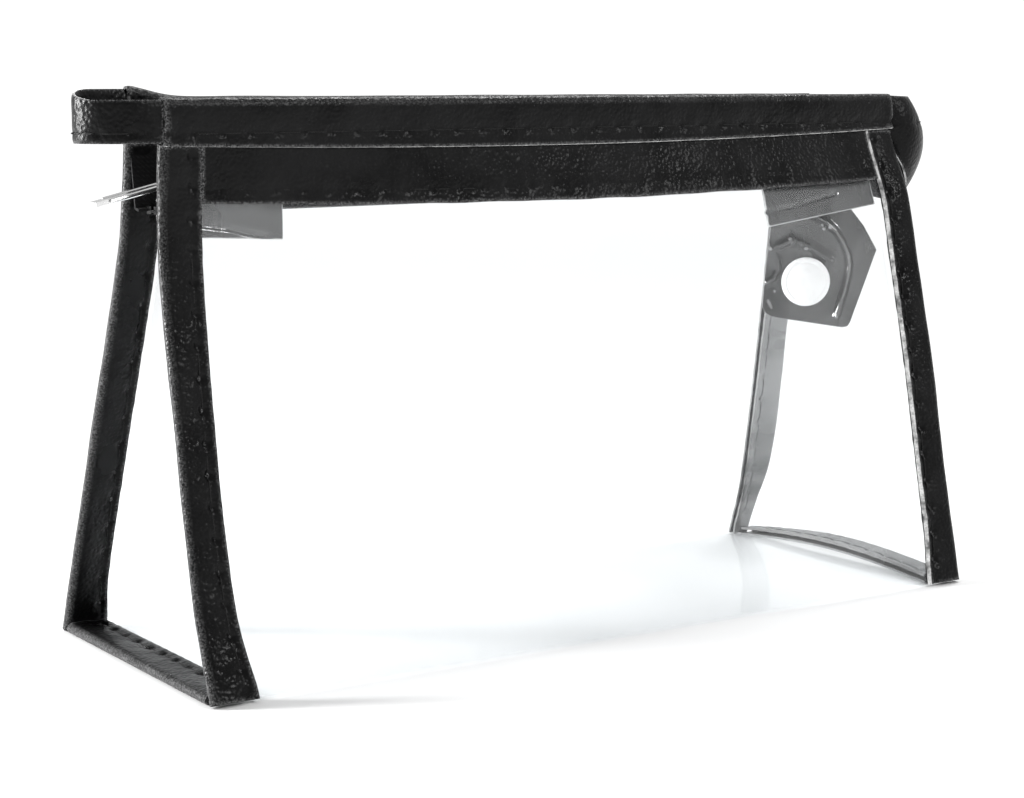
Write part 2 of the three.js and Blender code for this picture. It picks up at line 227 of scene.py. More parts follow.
def folded_strip(name, u_steps, v_steps, section, place, lift, materials):
    """A strip folded over an edge. section gives near, near_back, far and half at u, lift(u, along, off)
    how far the skin stands off its plain section, and place(u, along, off) a point of the section."""
    def at(u, v, w):
        near, near_back, far, half, bevel = section(u)
        shy = bevel * (w + 0.5)
        along, off, out_a, out_b = fold_path(v, near + shy, near_back + shy, far, half)
        out = w * SKIN + lift(u, along, off)
        return place(u, along + out_a * out, off + out_b * out)

    return board(name, u_steps, v_steps, at, materials)


def thread(name, centres, directions, normals, length, radius, material):
    """A row of stitches: each one is a short closed thread that dips into the fabric at both ends."""
    rings = [(-0.5, 0.45, -0.9), (-0.42, 0.9, -0.1), (-0.2, 1, 0.35), (0.2, 1, 0.35), (0.42, 0.9, -0.1),
             (0.5, 0.45, -0.9)]
    sides = 6
    points, faces = [], []
    for centre, direction, normal in zip(centres, unit(directions), unit(normals)):
        start = len(points)
        across = np.cross(direction, normal)
        for share, size, rise in rings:
            middle = centre + direction * share * length + normal * rise * radius
            for k in range(sides):
                angle = 2 * math.pi * k / sides
                around = across * math.cos(angle) + normal * math.sin(angle)
                points.append(middle + around * radius * size)
        for r in range(len(rings) - 1):
            for k in range(sides):
                a, b = start + r * sides + k, start + r * sides + (k + 1) % sides
                faces.append((a, b, b + sides, a + sides))
        end = start + (len(rings) - 1) * sides
        faces.append(tuple(start + k for k in reversed(range(sides))))
        faces.append(tuple(end + k for k in range(sides)))
    return make_mesh(name, points, faces, [material])


def seam(name, place, low, high, offset, body="bag", slot="cover"):
    """Stitches on place(s, out) between low and high millimetres along the row."""
    count = int((high - low) // STITCH)
    first = math.ceil(low / STITCH) * STITCH + STITCH / 2
    middles = np.array([first + k * STITCH for k in range(count)])
    middles = middles[middles < high - STITCH / 2]
    step = 0.5
    sunk = offset - 0.2
    centres = place(middles, sunk)
    directions = place(middles + step, sunk) - place(middles - step, sunk)
    normals = place(middles, sunk + step) - centres
    row = thread(name, centres, directions, normals, STITCH * 0.8, 0.2, MATERIALS["thread"])
    return finish_piece(row, body, slot)


def lathe(name, outline, middle, axis, materials, turns=48):
    """A closed round solid: outline is (radius, height) from the axis at its foot to the axis at its top."""
    axis = Vector(axis).normalized()
    side = axis.orthogonal().normalized()
    other = axis.cross(side)
    points = [Vector(middle) + axis * outline[0][1]]
    for radius, height in outline[1:-1]:
        for k in range(turns):
            angle = 2 * math.pi * k / turns
            around = side * math.cos(angle) + other * math.sin(angle)
            points.append(Vector(middle) + axis * height + around * radius)
    points.append(Vector(middle) + axis * outline[-1][1])
    faces = []
    rings = len(outline) - 2
    for k in range(turns):
        n = (k + 1) % turns
        faces.append((0, 1 + n, 1 + k))
        for r in range(rings - 1):
            a, b = 1 + r * turns, 1 + (r + 1) * turns
            faces.append((a + k, a + n, b + n, b + k))
        top = 1 + (rings - 1) * turns
        faces.append((top + k, top + n, len(points) - 1))
    return make_mesh(name, np.array([list(p) for p in points]), faces, materials, sharp=35)


def finish_piece(piece, body, slot, *nodes):
    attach(piece, body)
    if nodes:
        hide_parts(*nodes)
    return piece


# ---------------------------------------------------------------- materials

class Graph:
    """A node material under construction."""

    def __init__(self, name):
        self.material = bpy.data.materials.new(name)
        self.material.use_nodes = True
        self.tree = self.material.node_tree
        self.tree.nodes.clear()
        self.where = self.add("TexCoord").outputs["Object"]

    def add(self, kind, inputs=None, **settings):
        node = self.tree.nodes.new("ShaderNode" + kind)
        for key, value in settings.items():
            setattr(node, key, value)
        for socket, value in (inputs or {}).items():
            if isinstance(value, bpy.types.NodeSocket):
                self.tree.links.new(value, node.inputs[socket])
            else:
                node.inputs[socket].default_value = value
        return node

    def noise(self, scale, detail=3, rough=0.55, stretch=(1, 1, 1)):
        where = self.add("Mapping", {"Vector": self.where, "Scale": stretch}).outputs["Vector"]
        inputs = {"Vector": where, "Scale": scale, "Detail": detail, "Roughness": rough}
        return self.add("TexNoise", inputs).outputs["Fac"]

    def cells(self, scale, stretch=(1, 1, 1)):
        where = self.add("Mapping", {"Vector": self.where, "Scale": stretch}).outputs["Vector"]
        inputs = {"Vector": where, "Scale": scale}
        return self.add("TexVoronoi", inputs, feature="SMOOTH_F1").outputs["Distance"]

    def ramp(self, value, low, high, start=0.0, end=1.0):
        inputs = {"Value": value, "From Min": low, "From Max": high, "To Min": start, "To Max": end}
        return self.add("MapRange", inputs).outputs["Result"]

    def math(self, operation, a, b=0.0):
        return self.add("Math", {0: a, 1: b}, operation=operation).outputs[0]

    def colour(self, value, first, second):
        node = self.add("Mix", data_type="RGBA")
        self.tree.links.new(value, node.inputs["Factor"])
        node.inputs[6].default_value = (*first, 1)
        node.inputs[7].default_value = (*second, 1)
        return node.outputs[2]

    def blend(self, value, first, second):
        node = self.add("Mix", data_type="RGBA")
        self.tree.links.new(value, node.inputs["Factor"])
        self.tree.links.new(first, node.inputs[6])
        self.tree.links.new(second, node.inputs[7])
        return node.outputs[2]

    def bump(self, height, distance, before=None, strength=1.0):
        inputs = {"Height": height, "Distance": distance, "Strength": strength}
        if before is not None:
            inputs["Normal"] = before
        return self.add("Bump", inputs).outputs["Normal"]

    def done(self, shader):
        output = self.add("OutputMaterial")
        self.tree.links.new(shader.outputs[0], output.inputs["Surface"])
        return self.material


def coated_fabric():
    """Black polyurethane on cloth: pebbled, softly glossy, a little scuffed along its folds."""
    g = Graph("black_coated_fabric")
    pebbles = g.cells(1250)
    fine = g.noise(2600, 2)
    broad = g.noise(70, 3)
    creases = g.noise(240, 4, 0.6, (1, 1, 0.45))
    worn = g.ramp(g.add("NewGeometry").outputs["Pointiness"], 0.515, 0.57)
    scuffed = g.math("MULTIPLY", worn, g.ramp(fine, 0.35, 0.65))
    base = g.colour(g.ramp(broad, 0.35, 0.65), (0.0008, 0.0008, 0.0009), (0.0050, 0.0050, 0.0052))
    scuff = g.colour(g.ramp(fine, 0.3, 0.7), (0.050, 0.050, 0.051), (0.150, 0.150, 0.151))
    folds = g.noise(42, 2, 0.5, (1, 1, 0.4))
    normal = g.bump(folds, 0.0013)
    normal = g.bump(creases, 0.00025, normal)
    normal = g.bump(pebbles, 0.00018, normal)
    normal = g.bump(fine, 0.00003, normal, 0.6)
    return g.done(g.add("BsdfPrincipled", {
        "Base Color": g.blend(scuffed, base, scuff),
        "Roughness": g.ramp(broad, 0.3, 0.7, 0.22, 0.42),
        "Specular IOR Level": 0.13,
        "Normal": normal,
    }))


def backing():
    """The pale knitted wrong side of the coated fabric, as its cut edges show it."""
    g = Graph("pale_backing")
    fibres = g.noise(2300, 4, 0.7)
    soiled = g.ramp(g.noise(420, 3), 0.34, 0.58)
    clean = g.colour(g.ramp(fibres, 0.3, 0.7), (0.50, 0.50, 0.50), (0.86, 0.86, 0.85))
    dark = g.colour(fibres, (0.03, 0.03, 0.03), (0.22, 0.22, 0.22))
    return g.done(g.add("BsdfPrincipled", {
        "Base Color": g.blend(soiled, dark, clean),
        "Roughness": 0.92,
        "Sheen Weight": 0.3,
        "Normal": g.bump(fibres, 0.00012),
    }))


def film(name, haze, low, high, ripple, crease_whitening_and_highlight=0.0):
    """Clear vinyl: it lets most light straight through and mirrors more at a glancing angle."""
    g = Graph(name)
    streaks = g.noise(55, 4, 0.6, (1, 1, 0.35))
    scratches = g.noise(900, 2, 0.5, (0.12, 0.12, 1))
    normal = g.bump(streaks, ripple)
    normal = g.bump(scratches, 0.000008, normal, 0.5)
    edge_on = g.add("LayerWeight", {"Blend": 0.5, "Normal": normal}).outputs["Facing"]
    facing = g.math("ADD", g.math("MULTIPLY", g.math("POWER", edge_on, 5.0), 0.9), 0.03)
    body = g.ramp(streaks, 0.3, 0.7, haze * 0.7, haze * 1.3)
    share = g.add("Clamp", {"Value": g.math("ADD", facing, body)}).outputs["Result"]
    tint = g.colour(g.ramp(streaks, 0.35, 0.65), low, high)
    # Painted highlight: along sharp folds the colour turns pale grey to white, for the glint of light on
    # creases and for the vinyl's stress whitening there
    if crease_whitening_and_highlight:
        crease_whitening_and_highlight_mask = g.ramp(g.add("NewGeometry").outputs["Pointiness"], 0.53, 0.60, 0.0, crease_whitening_and_highlight)
        white = g.colour(scratches, (0.7, 0.7, 0.7), (0.95, 0.95, 0.95))
        tint = g.blend(crease_whitening_and_highlight_mask, tint, white)
    surface = g.add("BsdfPrincipled", {
        "Base Color": tint,
        "Roughness": g.ramp(scratches, 0.3, 0.7, 0.05, 0.16),
        "IOR": 1.5,
        "Specular IOR Level": 0.8,
        "Coat Weight": 0.6,
        "Coat Roughness": 0.04,
        "Normal": normal,
    })
    through = g.add("BsdfTransparent", {"Color": (0.992, 0.996, 0.998, 1)})
    return g.done(g.add("MixShader", {0: share, 1: through.outputs[0], 2: surface.outputs[0]}))


def binding_with_painted_reflections():
    """Black binding seen through the clear film over it: grey, glossy, with painted pale patches for the
    film's reflections.
    """
    g = Graph("film_over_binding_painted_reflections")
    patches = g.noise(95, 3, 0.5, (0.4, 0.4, 1))
    marks = g.noise(45, 2, 0.5, (0.3, 0.3, 1.6))
    # pale is a painted reflection of the film on the binding; dark is the binding's own black
    pale = g.colour(g.ramp(patches, 0.35, 0.65), (0.10, 0.10, 0.10), (0.22, 0.22, 0.22))
    dark = g.colour(patches, (0.012, 0.012, 0.012), (0.05, 0.05, 0.05))
    return g.done(g.add("BsdfPrincipled", {
        "Base Color": g.blend(g.ramp(marks, 0.3, 0.4), dark, pale),
        "Roughness": g.ramp(patches, 0.3, 0.7, 0.2, 0.4),
        "Specular IOR Level": 0.35,
        "Normal": g.bump(patches, 0.0003),
    }))


def thread_material():
    g = Graph("black_thread")
    inputs = {"Vector": g.where, "Scale": 900, "Distortion": 2.0}
    twist = g.add("TexWave", inputs, bands_direction="DIAGONAL")
    fluff = g.noise(3000, 3)
    return g.done(g.add("BsdfPrincipled", {
        "Base Color": g.colour(fluff, (0.001, 0.001, 0.001), (0.008, 0.008, 0.008)),
        "Roughness": 0.55,
        "Specular IOR Level": 0.25,
        "Normal": g.bump(twist.outputs["Fac"], 0.00008),
    }))


def woven(name, dark, light):
    """A close herringbone weave, as a zip's tape has."""
    g = Graph(name)
    slanted = {"Vector": g.where, "Scale": 520, "Distortion": 0.6}
    level = {"Vector": g.where, "Scale": 330, "Distortion": 0.4}
    one = g.add("TexWave", slanted, bands_direction="DIAGONAL")
    rows = g.add("TexWave", level, bands_direction="Z")
    weave = g.math("MULTIPLY", one.outputs["Fac"], rows.outputs["Fac"])
    broad = g.noise(120, 3)
    shade = g.math("ADD", g.math("MULTIPLY", weave, 0.6), g.math("MULTIPLY", broad, 0.4))
    return g.done(g.add("BsdfPrincipled", {
        "Base Color": g.colour(shade, dark, light),
        "Roughness": 0.85,
        "Specular IOR Level": 0.2,
        "Sheen Weight": 0.04,
        "Normal": g.bump(weave, 0.00010),
    }))


def nylon():
    g = Graph("black_nylon")
    fine = g.noise(1800, 3)
    return g.done(g.add("BsdfPrincipled", {
        "Base Color": g.colour(fine, (0.008, 0.008, 0.009), (0.03, 0.03, 0.031)),
        "Roughness": g.ramp(fine, 0.3, 0.7, 0.28, 0.45),
        "Normal": g.bump(fine, 0.00002),
    }))


def plated(name, dark, light):
    """Plated metal with fine rubbing marks and smudges."""
    g = Graph(name)
    rubbed = g.noise(700, 3, 0.6, (1, 0.2, 1))
    smudge = g.noise(160, 3)
    return g.done(g.add("BsdfPrincipled", {
        "Base Color": g.colour(smudge, dark, light),
        "Metallic": 1.0,
        "Roughness": g.ramp(smudge, 0.3, 0.7, 0.14, 0.3),
        "Normal": g.bump(rubbed, 0.000015),
    }))


def white_plastic():
    g = Graph("white_plastic")
    flow = g.noise(300, 3)
    return g.done(g.add("BsdfPrincipled", {
        "Base Color": g.colour(flow, (0.86, 0.86, 0.86), (0.95, 0.95, 0.95)),
        "Roughness": g.ramp(flow, 0.3, 0.7, 0.22, 0.34),
        "Subsurface Weight": 0.15,
        "Subsurface Radius": (0.001, 0.001, 0.001),
        "Subsurface Scale": 1.0,
        "Normal": g.bump(flow, 0.00002),
    }))


def floor_material():
    """Near the object it takes shadows, and further off it fades into the white wall."""
    g = Graph("pale_floor")
    near = g.add("BsdfPrincipled", {
        "Base Color": g.colour(g.noise(3, 2), (0.90, 0.90, 0.90), (0.93, 0.93, 0.93)),
        "Roughness": 0.85,
        "Specular IOR Level": 0.1,
    })
    far = g.add("Emission", {"Color": (1, 1, 1, 1), "Strength": 1.1})
    distance = g.add("VectorMath", {0: g.where}, operation="LENGTH").outputs["Value"]
    share = g.ramp(distance, 0.5, 1.6)
    return g.done(g.add("MixShader", {0: share, 1: near.outputs[0], 2: far.outputs[0]}))


MATERIALS = {
    "cover": coated_fabric(),
    "backing": backing(),
    "film": film("clear_vinyl", 0.006, (0.84, 0.86, 0.87), (0.94, 0.95, 0.96), 0.00006),
    # The last number, for the tab and the tape ends, is how strongly their folds get the painted crease
    # highlight
    "flap": film("creased_vinyl", 0.93, (0.004, 0.004, 0.004), (0.050, 0.050, 0.050), 0.0012, 0.3),
    "tail": film("clouded_tape_end", 0.93, (0.026, 0.026, 0.026), (0.055, 0.055, 0.055), 0.0003, 0.9),
    "binding_with_painted_reflections": binding_with_painted_reflections(),
    "thread": thread_material(),
    "tape": woven("zip_tape_weave", (0.002, 0.002, 0.002), (0.012, 0.012, 0.013)),
    "teeth": nylon(),
    "steel": plated("nickel_plate", (0.66, 0.66, 0.66), (0.88, 0.88, 0.88)),
    "stop": plated("blackened_plate", (0.02, 0.02, 0.02), (0.06, 0.06, 0.06)),
    "cap": white_plastic(),
}
FABRIC = [MATERIALS["cover"], MATERIALS["backing"]]


# ---------------------------------------------------------------- clear panels

def panel_ripple(x, z, seed, swell):
    """The film is held at its seams, so it ripples and bows only away from them."""
    held = np.sin(math.pi * np.clip((x + 95) / 190, 0, 1)) * np.sin(math.pi * np.clip(z / 95, 0, 1))
    return held * (0.35 * waves(x, z * 0.6, seed, 46) + swell)


def main_panels():
    half, foot, top = 100.7, 0.3, 106.5
    for name, place, seed, swell in [("front_panel", on_front, 2, 0.5), ("back_panel", on_back, 7, 0.9)]:
        def at(u, v, w, place=place, seed=seed, swell=swell):
            x, z = mix(-half, half, u), mix(foot, top, v)
            return place(x, z, w * FILM + panel_ripple(x, z, seed, swell))

        panel = board(f"{name}_film", 70, 40, at, [MATERIALS["film"]])
        finish_piece(panel, "bag", "vinyl", name)


def base_panel():
    half, depth = HALF_BODY - 1, HALF_DEPTH - 1

    def at(u, v, w):
        x, y = mix(-half, half, u), mix(-depth, depth, v)
        lift = 0.5 + 0.5 * np.sin(math.pi * u) * np.sin(math.pi * v) * (1 + waves(x, y, 4, 40))
        return np.stack([x, y, FILM * (w + 0.5) + lift + base_rise(x, y)], -1)

    panel = board("base_panel_film", 60, 24, at, [MATERIALS["film"]])
    finish_piece(panel, "bag", "vinyl", "base_panel")


CURL = 3.2                     # how high the base curls up between its corners at the right end
CURL_START, CURL_RUN = 40, 60


def base_rise(x, y):
    share = np.clip((x - CURL_START) / CURL_RUN, 0, 1) ** 2
    return CURL * share * np.cos(math.pi * np.clip(y / (2 * HALF_DEPTH), -0.5, 0.5))


def end_panels():
    clear = 1.6
    for side, label, seed in [(-1, "left", 3), (1, "right", 9)]:
        plane = side * HALF_BODY

        def at(u, v, w, plane=plane, seed=seed):
            z = mix(2.5, END_TOP, v)
            near, far = front_y(plane, z) + clear, back_y(plane, z) - clear
            bow = np.sin(math.pi * u) * np.sin(math.pi * v) * (0.5 + 0.5 * waves(u * 60, z, seed, 30))
            rise = base_rise(plane, mix(near, far, u)) * (1 - v)
            return np.stack([plane + bow + w * FILM, mix(near, far, u), z + rise], -1)

        panel = board(f"end_panel_{label}_film", 24, 36, at, [MATERIALS["film"]])
        finish_piece(panel, "bag", "vinyl", f"end_panel_{label}")
        narrow = float(back_y(plane, END_TOP) - front_y(plane, END_TOP))


# ---------------------------------------------------------------- end bindings

SEAM_IN = 2.3                  # from the cut edge of a binding to its stitches
LEG_FOOT, LEG_TOP = 0.5, 111.0


def leg_shape(front, side):
    """How far the cut edge of a leg's binding lies from the end panel: the foot spreads a little."""
    def near(z):
        narrow = 1.0 * bell(z - 42, 34) if front and side < 0 else 0
        return narrow + 0.1 - 1.6 * bell(z, 9)
    return near


def leg_fold(front, side, z):
    """Where a leg's fold lies: the leg at the back of the right end narrows to its foot."""
    return RIM - (5.6 * bell(z, 15) if side > 0 and not front else 0)


def leg_bindings():
    half = (BINDING - SKIN) / 2
    for side, label in [(-1, "left"), (1, "right")]:
        edge = side * HALF_BODY
        for word, place in [("front", on_front), ("back", on_back)]:
            front = word == "front"
            near_at = leg_shape(front, side)
            seed = 3 * side + (11 if front else 17)
            bevel = 0.8 if front and side > 0 else 0.05

            def height(u):
                return mix(LEG_FOOT, LEG_TOP, u)

            def section(u, near_at=near_at, bevel=bevel, front=front, side=side):
                near = near_at(height(u))
                step = 0.6 if front or side < 0 else 0.0
                rounder = 0.5 * bell(height(u) - 108, 24) if front and side < 0 else 0
                return near, near + step, leg_fold(front, side, height(u)), half + rounder, bevel

            def lift(u, along, off, near_at=near_at, seed=seed):
                z = height(u)
                row = along - near_at(z) - SEAM_IN
                full = 0.24 * bell(along - 6.5, 2.6) * (1 + 0.7 * waves(z, along * 0.5, seed, 24))
                dents = 0.14 * waves(z, along * 1.2, seed + 2, 9)
                return full + dents * bell(along - 5, 4) + stitched(z, row, seed=seed)

            def at(u, along, off, edge=edge, side=side, place=place):
                return place(edge + side * along, height(u), off)

            name = f"{word}_{label}_binding"
            # Past v 0.4 and on its cut edges, the back leg at the right end is black binding with painted
            # reflections of the film over it
            skins = [MATERIALS["cover"], *[MATERIALS["binding_with_painted_reflections"]] * 2] if side > 0 and not front else FABRIC
            strip = folded_strip(f"{name}_cover", 170, 30, section, at, lift, skins)
            finish_piece(strip, "bag", "cover", name)

            for leaf in (1, -1):
                def on_row(z, out, edge=edge, side=side, place=place, near_at=near_at, leaf=leaf):
                    across = near_at(z) + SEAM_IN
                    return place(edge + side * across, z, leaf * out)

                seam(f"{name}_stitches_{'outer' if leaf > 0 else 'inner'}", on_row, LEG_FOOT + 3,
                     LEG_TOP - 2, half + SKIN / 2 - 0.1)


def base_bindings():
    half = (BINDING - SKIN) / 2
    reach = HALF_DEPTH - 2.6
    for side, label in [(-1, "left"), (1, "right")]:
        edge = side * HALF_BODY

        def depth(u):
            return mix(-reach, reach, u)

        def section(u, side=side):
            return 0.0, 0.0, RIM if side < 0 else mix(7.0, 4.2, u), half, 0.05

        def lift(u, along, off, side=side):
            y = depth(u)
            full = 0.22 * bell(along - 6.5, 2.6) * (1 + 0.8 * waves(y, along, side + 21, 18))
            return np.where(off < 0, 0, 1) * (full + stitched(y, along - SEAM_IN, seed=side + 30))

        def at(u, along, off, edge=edge, side=side):
            y = depth(u)
            x = edge + side * along + 0 * y
            return np.stack([x, y, BINDING / 2 + off + base_rise(x, y)], -1)

        name = f"base_{label}_binding"
        # At the right end the base binding is black binding with painted reflections of the film over it
        skins = FABRIC if side < 0 else [MATERIALS["binding_with_painted_reflections"]]
        strip = folded_strip(f"{name}_cover", 110, 30, section, at, lift, skins)
        finish_piece(strip, "bag", "cover", name)

        def on_row(y, out, edge=edge, side=side):
            x = edge + side * SEAM_IN + 0 * y
            return np.stack([x, y, BINDING / 2 + out + base_rise(x, y)], -1)

        seam(f"{name}_stitches", on_row, -reach + 2, reach - 2, half + SKIN / 2 - 0.1)


# ---------------------------------------------------------------- bands, trims and loops

def band_low(x):
    return mix(97, 99, (x / HALF_BODY) ** 2)


BAND_SEAM_IN = 3.0             # from the lower edge of a band to its stitches


def bands():
    half = HALF_BODY - 0.05
    out = FILM / 2 + 0.3 + SKIN / 2
    for name, place, seed in [("front_band", on_front, 4), ("back_band", on_back, 8)]:
        def at(u, v, w, place=place, seed=seed):
            x = mix(-half, half, u)
            low = band_low(x) + 0.12 * waves(x, x, seed, 14)
            z = mix(low, BAND_TOP, v)
            hem = 0.1 * bell(z - low, 0.8)
            drape = 0.3 * (1 + waves(x, z * 0.25, seed + 1, 26)) * bell(z - 104, 5)
            drawn = 0.5 * stitched(x, z - low - BAND_SEAM_IN, seed=seed)
            return place(x, z, out + w * SKIN + hem + drape * 0.8 + drawn)

        band = board(f"{name}_cover", 300, 22, at, [MATERIALS["cover"]])
        finish_piece(band, "bag", "cover", name)

        def on_row(x, off, place=place):
            return place(x, band_low(x) + BAND_SEAM_IN, off)

        seam(f"{name}_stitches", on_row, -half + 1, half - 1, out + SKIN / 2 - 0.05)


TRIM_SEAM = 113.2
END_RISE = 2.1                 # the back trim stands this much higher at the left end, and so does the loop


def trim_low(x):
    """The trim's cut edge hangs a little lower in the middle of the mouth."""
    return mix(109.2, mix(110.8, 111.4, x > 0), (x / OUTER_X) ** 2)


def trims():
    half = (TRIM - SKIN) / 2
    for name, place, seed in [("front_mouth_trim", on_front, 14), ("back_mouth_trim", on_back, 19)]:
        def across(u):
            return mix(-OUTER_X, OUTER_X, u)

        def section(u, place=place):
            low = trim_low(across(u))
            pressed = 0.75 + (half - 0.75) * np.clip((OUTER_X - np.abs(across(u))) / 7, 0, 1) ** 0.6
            top = HEIGHT + (END_RISE * bell(across(u) + OUTER_X, 7.5) if place is on_back else 0)
            return low, low + 1, top, pressed, 0.1

        def lift(u, along, off, seed=seed):
            x = across(u)
            full = 0.2 * bell(along - 117.2, 2.6) * (1 + 0.9 * waves(x, along * 0.6, seed, 34))
            dents = 0.12 * waves(x, along * 1.4, seed + 3, 12) * bell(along - 116.5, 3.4)
            flat_inside = np.where(off > -half * 0.9, 1.0, 0.3)
            ridge = 0.8 * bell(np.abs(x) - OUTER_X + 0.8, 1.6) * (1 - bell(along - 120.5, 3.2))
            return flat_inside * (full + dents + ridge + 0.8 * stitched(x, along - TRIM_SEAM, seed=seed))

        def at(u, along, off, place=place):
            return place(across(u), along, off + TRIM_OUT)

        strip = folded_strip(f"{name}_cover", 320, 32, section, at, lift, FABRIC)
        finish_piece(strip, "bag", "cover", name)

        def on_row(x, off, place=place):
            return place(x, TRIM_SEAM + 0 * x, off + TRIM_OUT)

        seam(f"{name}_stitches", on_row, -OUTER_X + 1, OUTER_X - 1, half + SKIN / 2 - 0.08)


LOOP_SKIN = 1.2
LOOP_GAP = 0.4


def smooth_path(points, samples=400):
    """A centripetal Catmull-Rom curve through [x, y] points, read as point and direction by share of
    its length."""
    pts = np.array(points, float)
    pts = np.vstack([2 * pts[0] - pts[1], pts, 2 * pts[-1] - pts[-2]])
    line = []
    for p0, p1, p2, p3 in zip(pts, pts[1:], pts[2:], pts[3:]):
        knots = np.cumsum([0] + [np.linalg.norm(b - a) ** 0.5 for a, b in [(p0, p1), (p1, p2), (p2, p3)]])
        t = np.linspace(knots[1], knots[2], samples // (len(points) - 1), endpoint=False)[:, None]
        a1 = (knots[1] - t) / knots[1] * p0 + t / knots[1] * p1
        a2 = mix(p1, p2, (t - knots[1]) / (knots[2] - knots[1]))
        a3 = mix(p2, p3, (t - knots[2]) / (knots[3] - knots[2]))
        b1 = mix(a1, a2, t / knots[2])
        b2 = mix(a2, a3, (t - knots[1]) / (knots[3] - knots[1]))
        line.append(mix(b1, b2, (t - knots[1]) / (knots[2] - knots[1])))
    line = np.vstack([*line, pts[-2:-1]])
    length = np.concatenate([[0], np.cumsum(np.linalg.norm(np.diff(line, axis=0), axis=1))])

    def read(u):
        s = np.asarray(u, float) * length[-1]
        here = np.stack([np.interp(s, length, line[:, k]) for k in (0, 1)], -1)
        step = 0.4
        a, b = np.clip(s - step, 0, length[-1]), np.clip(s + step, 0, length[-1])
        runs = [np.interp(b, length, line[:, k]) - np.interp(a, length, line[:, k]) for k in (0, 1)]
        return here, unit(np.stack(runs, -1))

    return read, length[-1]


def loop(name, route, heights, steps, seam_height):
    read, length = smooth_path(route)

    def place(u, v, out):
        here, ahead = read(u)
        low, high, bulge = heights(u)
        off = out + bulge * np.sin(math.pi * v)
        return np.stack([here[..., 0] + ahead[..., 1] * off, here[..., 1] - ahead[..., 0] * off,
                         mix(low, high, v)], -1)

    def at(u, v, w):
        low, high, _ = heights(u)
        z, s = mix(low, high, v), u * length
        thin = np.sqrt(np.clip(1 - ((v - 0.5) * 2) ** 6, 0.16, 1))
        creased = 0.16 * waves(s, z * 0.7, 31, 7) + 0.22 * waves(s, z * 0.4, 37, 16)
        drawn = w * stitched(s, z - seam_height, seed=41)
        return place(u, v, w * LOOP_SKIN * thin + 0.6 * creased + drawn)

    piece = board(f"{name}_cover", steps, 26, at, FABRIC)
    finish_piece(piece, "bag", "cover", name)

    for face, word in [(1, "outer"), (-1, "inner")]:
        def on_row(s, out, face=face):
            u = s / length
            low, high, _ = heights(u)
            return place(u, (seam_height - low) / (high - low), face * out)

        seam(f"{name}_stitches_{word}", on_row, 3, length - 3, LOOP_SKIN / 2 - 0.1)


def loops():
    left_x, right_x = -OUTER_X - LOOP_GAP, OUTER_X + LOOP_GAP
    middle = 115
    left = [[left_x + 0.5, float(front_y(left_x, middle)) - 0.9], [-109, -19.9], [-114.8, -16.6],
            [-117, -12], [-115, -7.6], [-109.5, -4.8], [left_x, float(back_y(left_x, middle))]]

    def left_heights(u):
        rise = END_RISE * np.sin(math.pi / 2 * np.clip((u - 0.4) / 0.36, 0, 1)) ** 1.3
        return 111.2 + 0 * u, 119.8 + rise, 0 * u

    loop("left_loop", left, left_heights, 90, TRIM_SEAM)

    right = [[right_x, float(back_y(right_x, middle))], [110, 19.5], [114.6, 12], [115.6, 3],
             [113.5, -4], [108.5, -8.6], [right_x, float(front_y(right_x, middle))]]

    def right_heights(u):
        opened = np.sin(math.pi * np.clip(u, 0, 1)) ** 0.7
        return mix(110.5, 93, opened), 120 - 0.5 * opened, -5 * opened

    loop("right_loop", right, right_heights, 110, TRIM_SEAM)


# ---------------------------------------------------------------- zip

def mouth_y(x):
    return (front_y(x, ZIP_HEIGHT) + back_y(x, ZIP_HEIGHT)) / 2


ZIP_YAW = math.atan2(mouth_y(ZIP_HALF) - mouth_y(-ZIP_HALF), 2 * ZIP_HALF)
ZIP_MIDDLE = np.array([0, (mouth_y(ZIP_HALF) + mouth_y(-ZIP_HALF)) / 2, ZIP_HEIGHT])
ZIP_ALONG = np.array([math.cos(ZIP_YAW), math.sin(ZIP_YAW), 0])
ZIP_ACROSS = np.array([-math.sin(ZIP_YAW), math.cos(ZIP_YAW), 0])
UP = np.array([0, 0, 1.0])


def from_zip(x, y, z):
    x, y, z = (np.asarray(k, float)[..., None] for k in (x, y, z))
    return ZIP_MIDDLE + x * ZIP_ALONG + y * ZIP_ACROSS + z * UP


def zip_tapes():
    half, turn, top, out = 101.8, 110.8, 114.5, -0.25
    for word, place, side in [("front", on_front, -1), ("back", on_back, 1)]:
        def route(x, side=side, place=place):
            zero = 0 * x
            return np.stack([
                from_zip(x, zero + side * (TEETH_OUTER + 0.3), zero),
                from_zip(x, zero + side * 4.4, zero),
                place(x, zero + turn, out),
                place(x, zero + top, out),
            ])

        def along(x, v):
            line = route(x)
            steps = v * 3
            i = np.minimum(steps.astype(int), 2)
            t = (steps - i)[..., None]
            a = np.take_along_axis(line, i[None, ..., None], 0)[0]
            b = np.take_along_axis(line, i[None, ..., None] + 1, 0)[0]
            return mix(a, b, t)

        def at(u, v, w):
            x = mix(-half, half, u)
            small = 0.03
            run = along(x, np.minimum(v + small, 1)) - along(x, np.maximum(v - small, 0))
            across = unit(np.stack([0 * x, -run[..., 2], run[..., 1]], -1))
            sag = 0.25 * waves(x, v * 20, 51, 20) * np.sin(math.pi * v)
            return along(x, v) + across * (w * TAPE + sag)[..., None]

        tape = board(f"zip_tape_{word}_cloth", 160, 24, at, [MATERIALS["tape"]])
        finish_piece(tape, "bag", "tape", f"zip_tape_{word}")


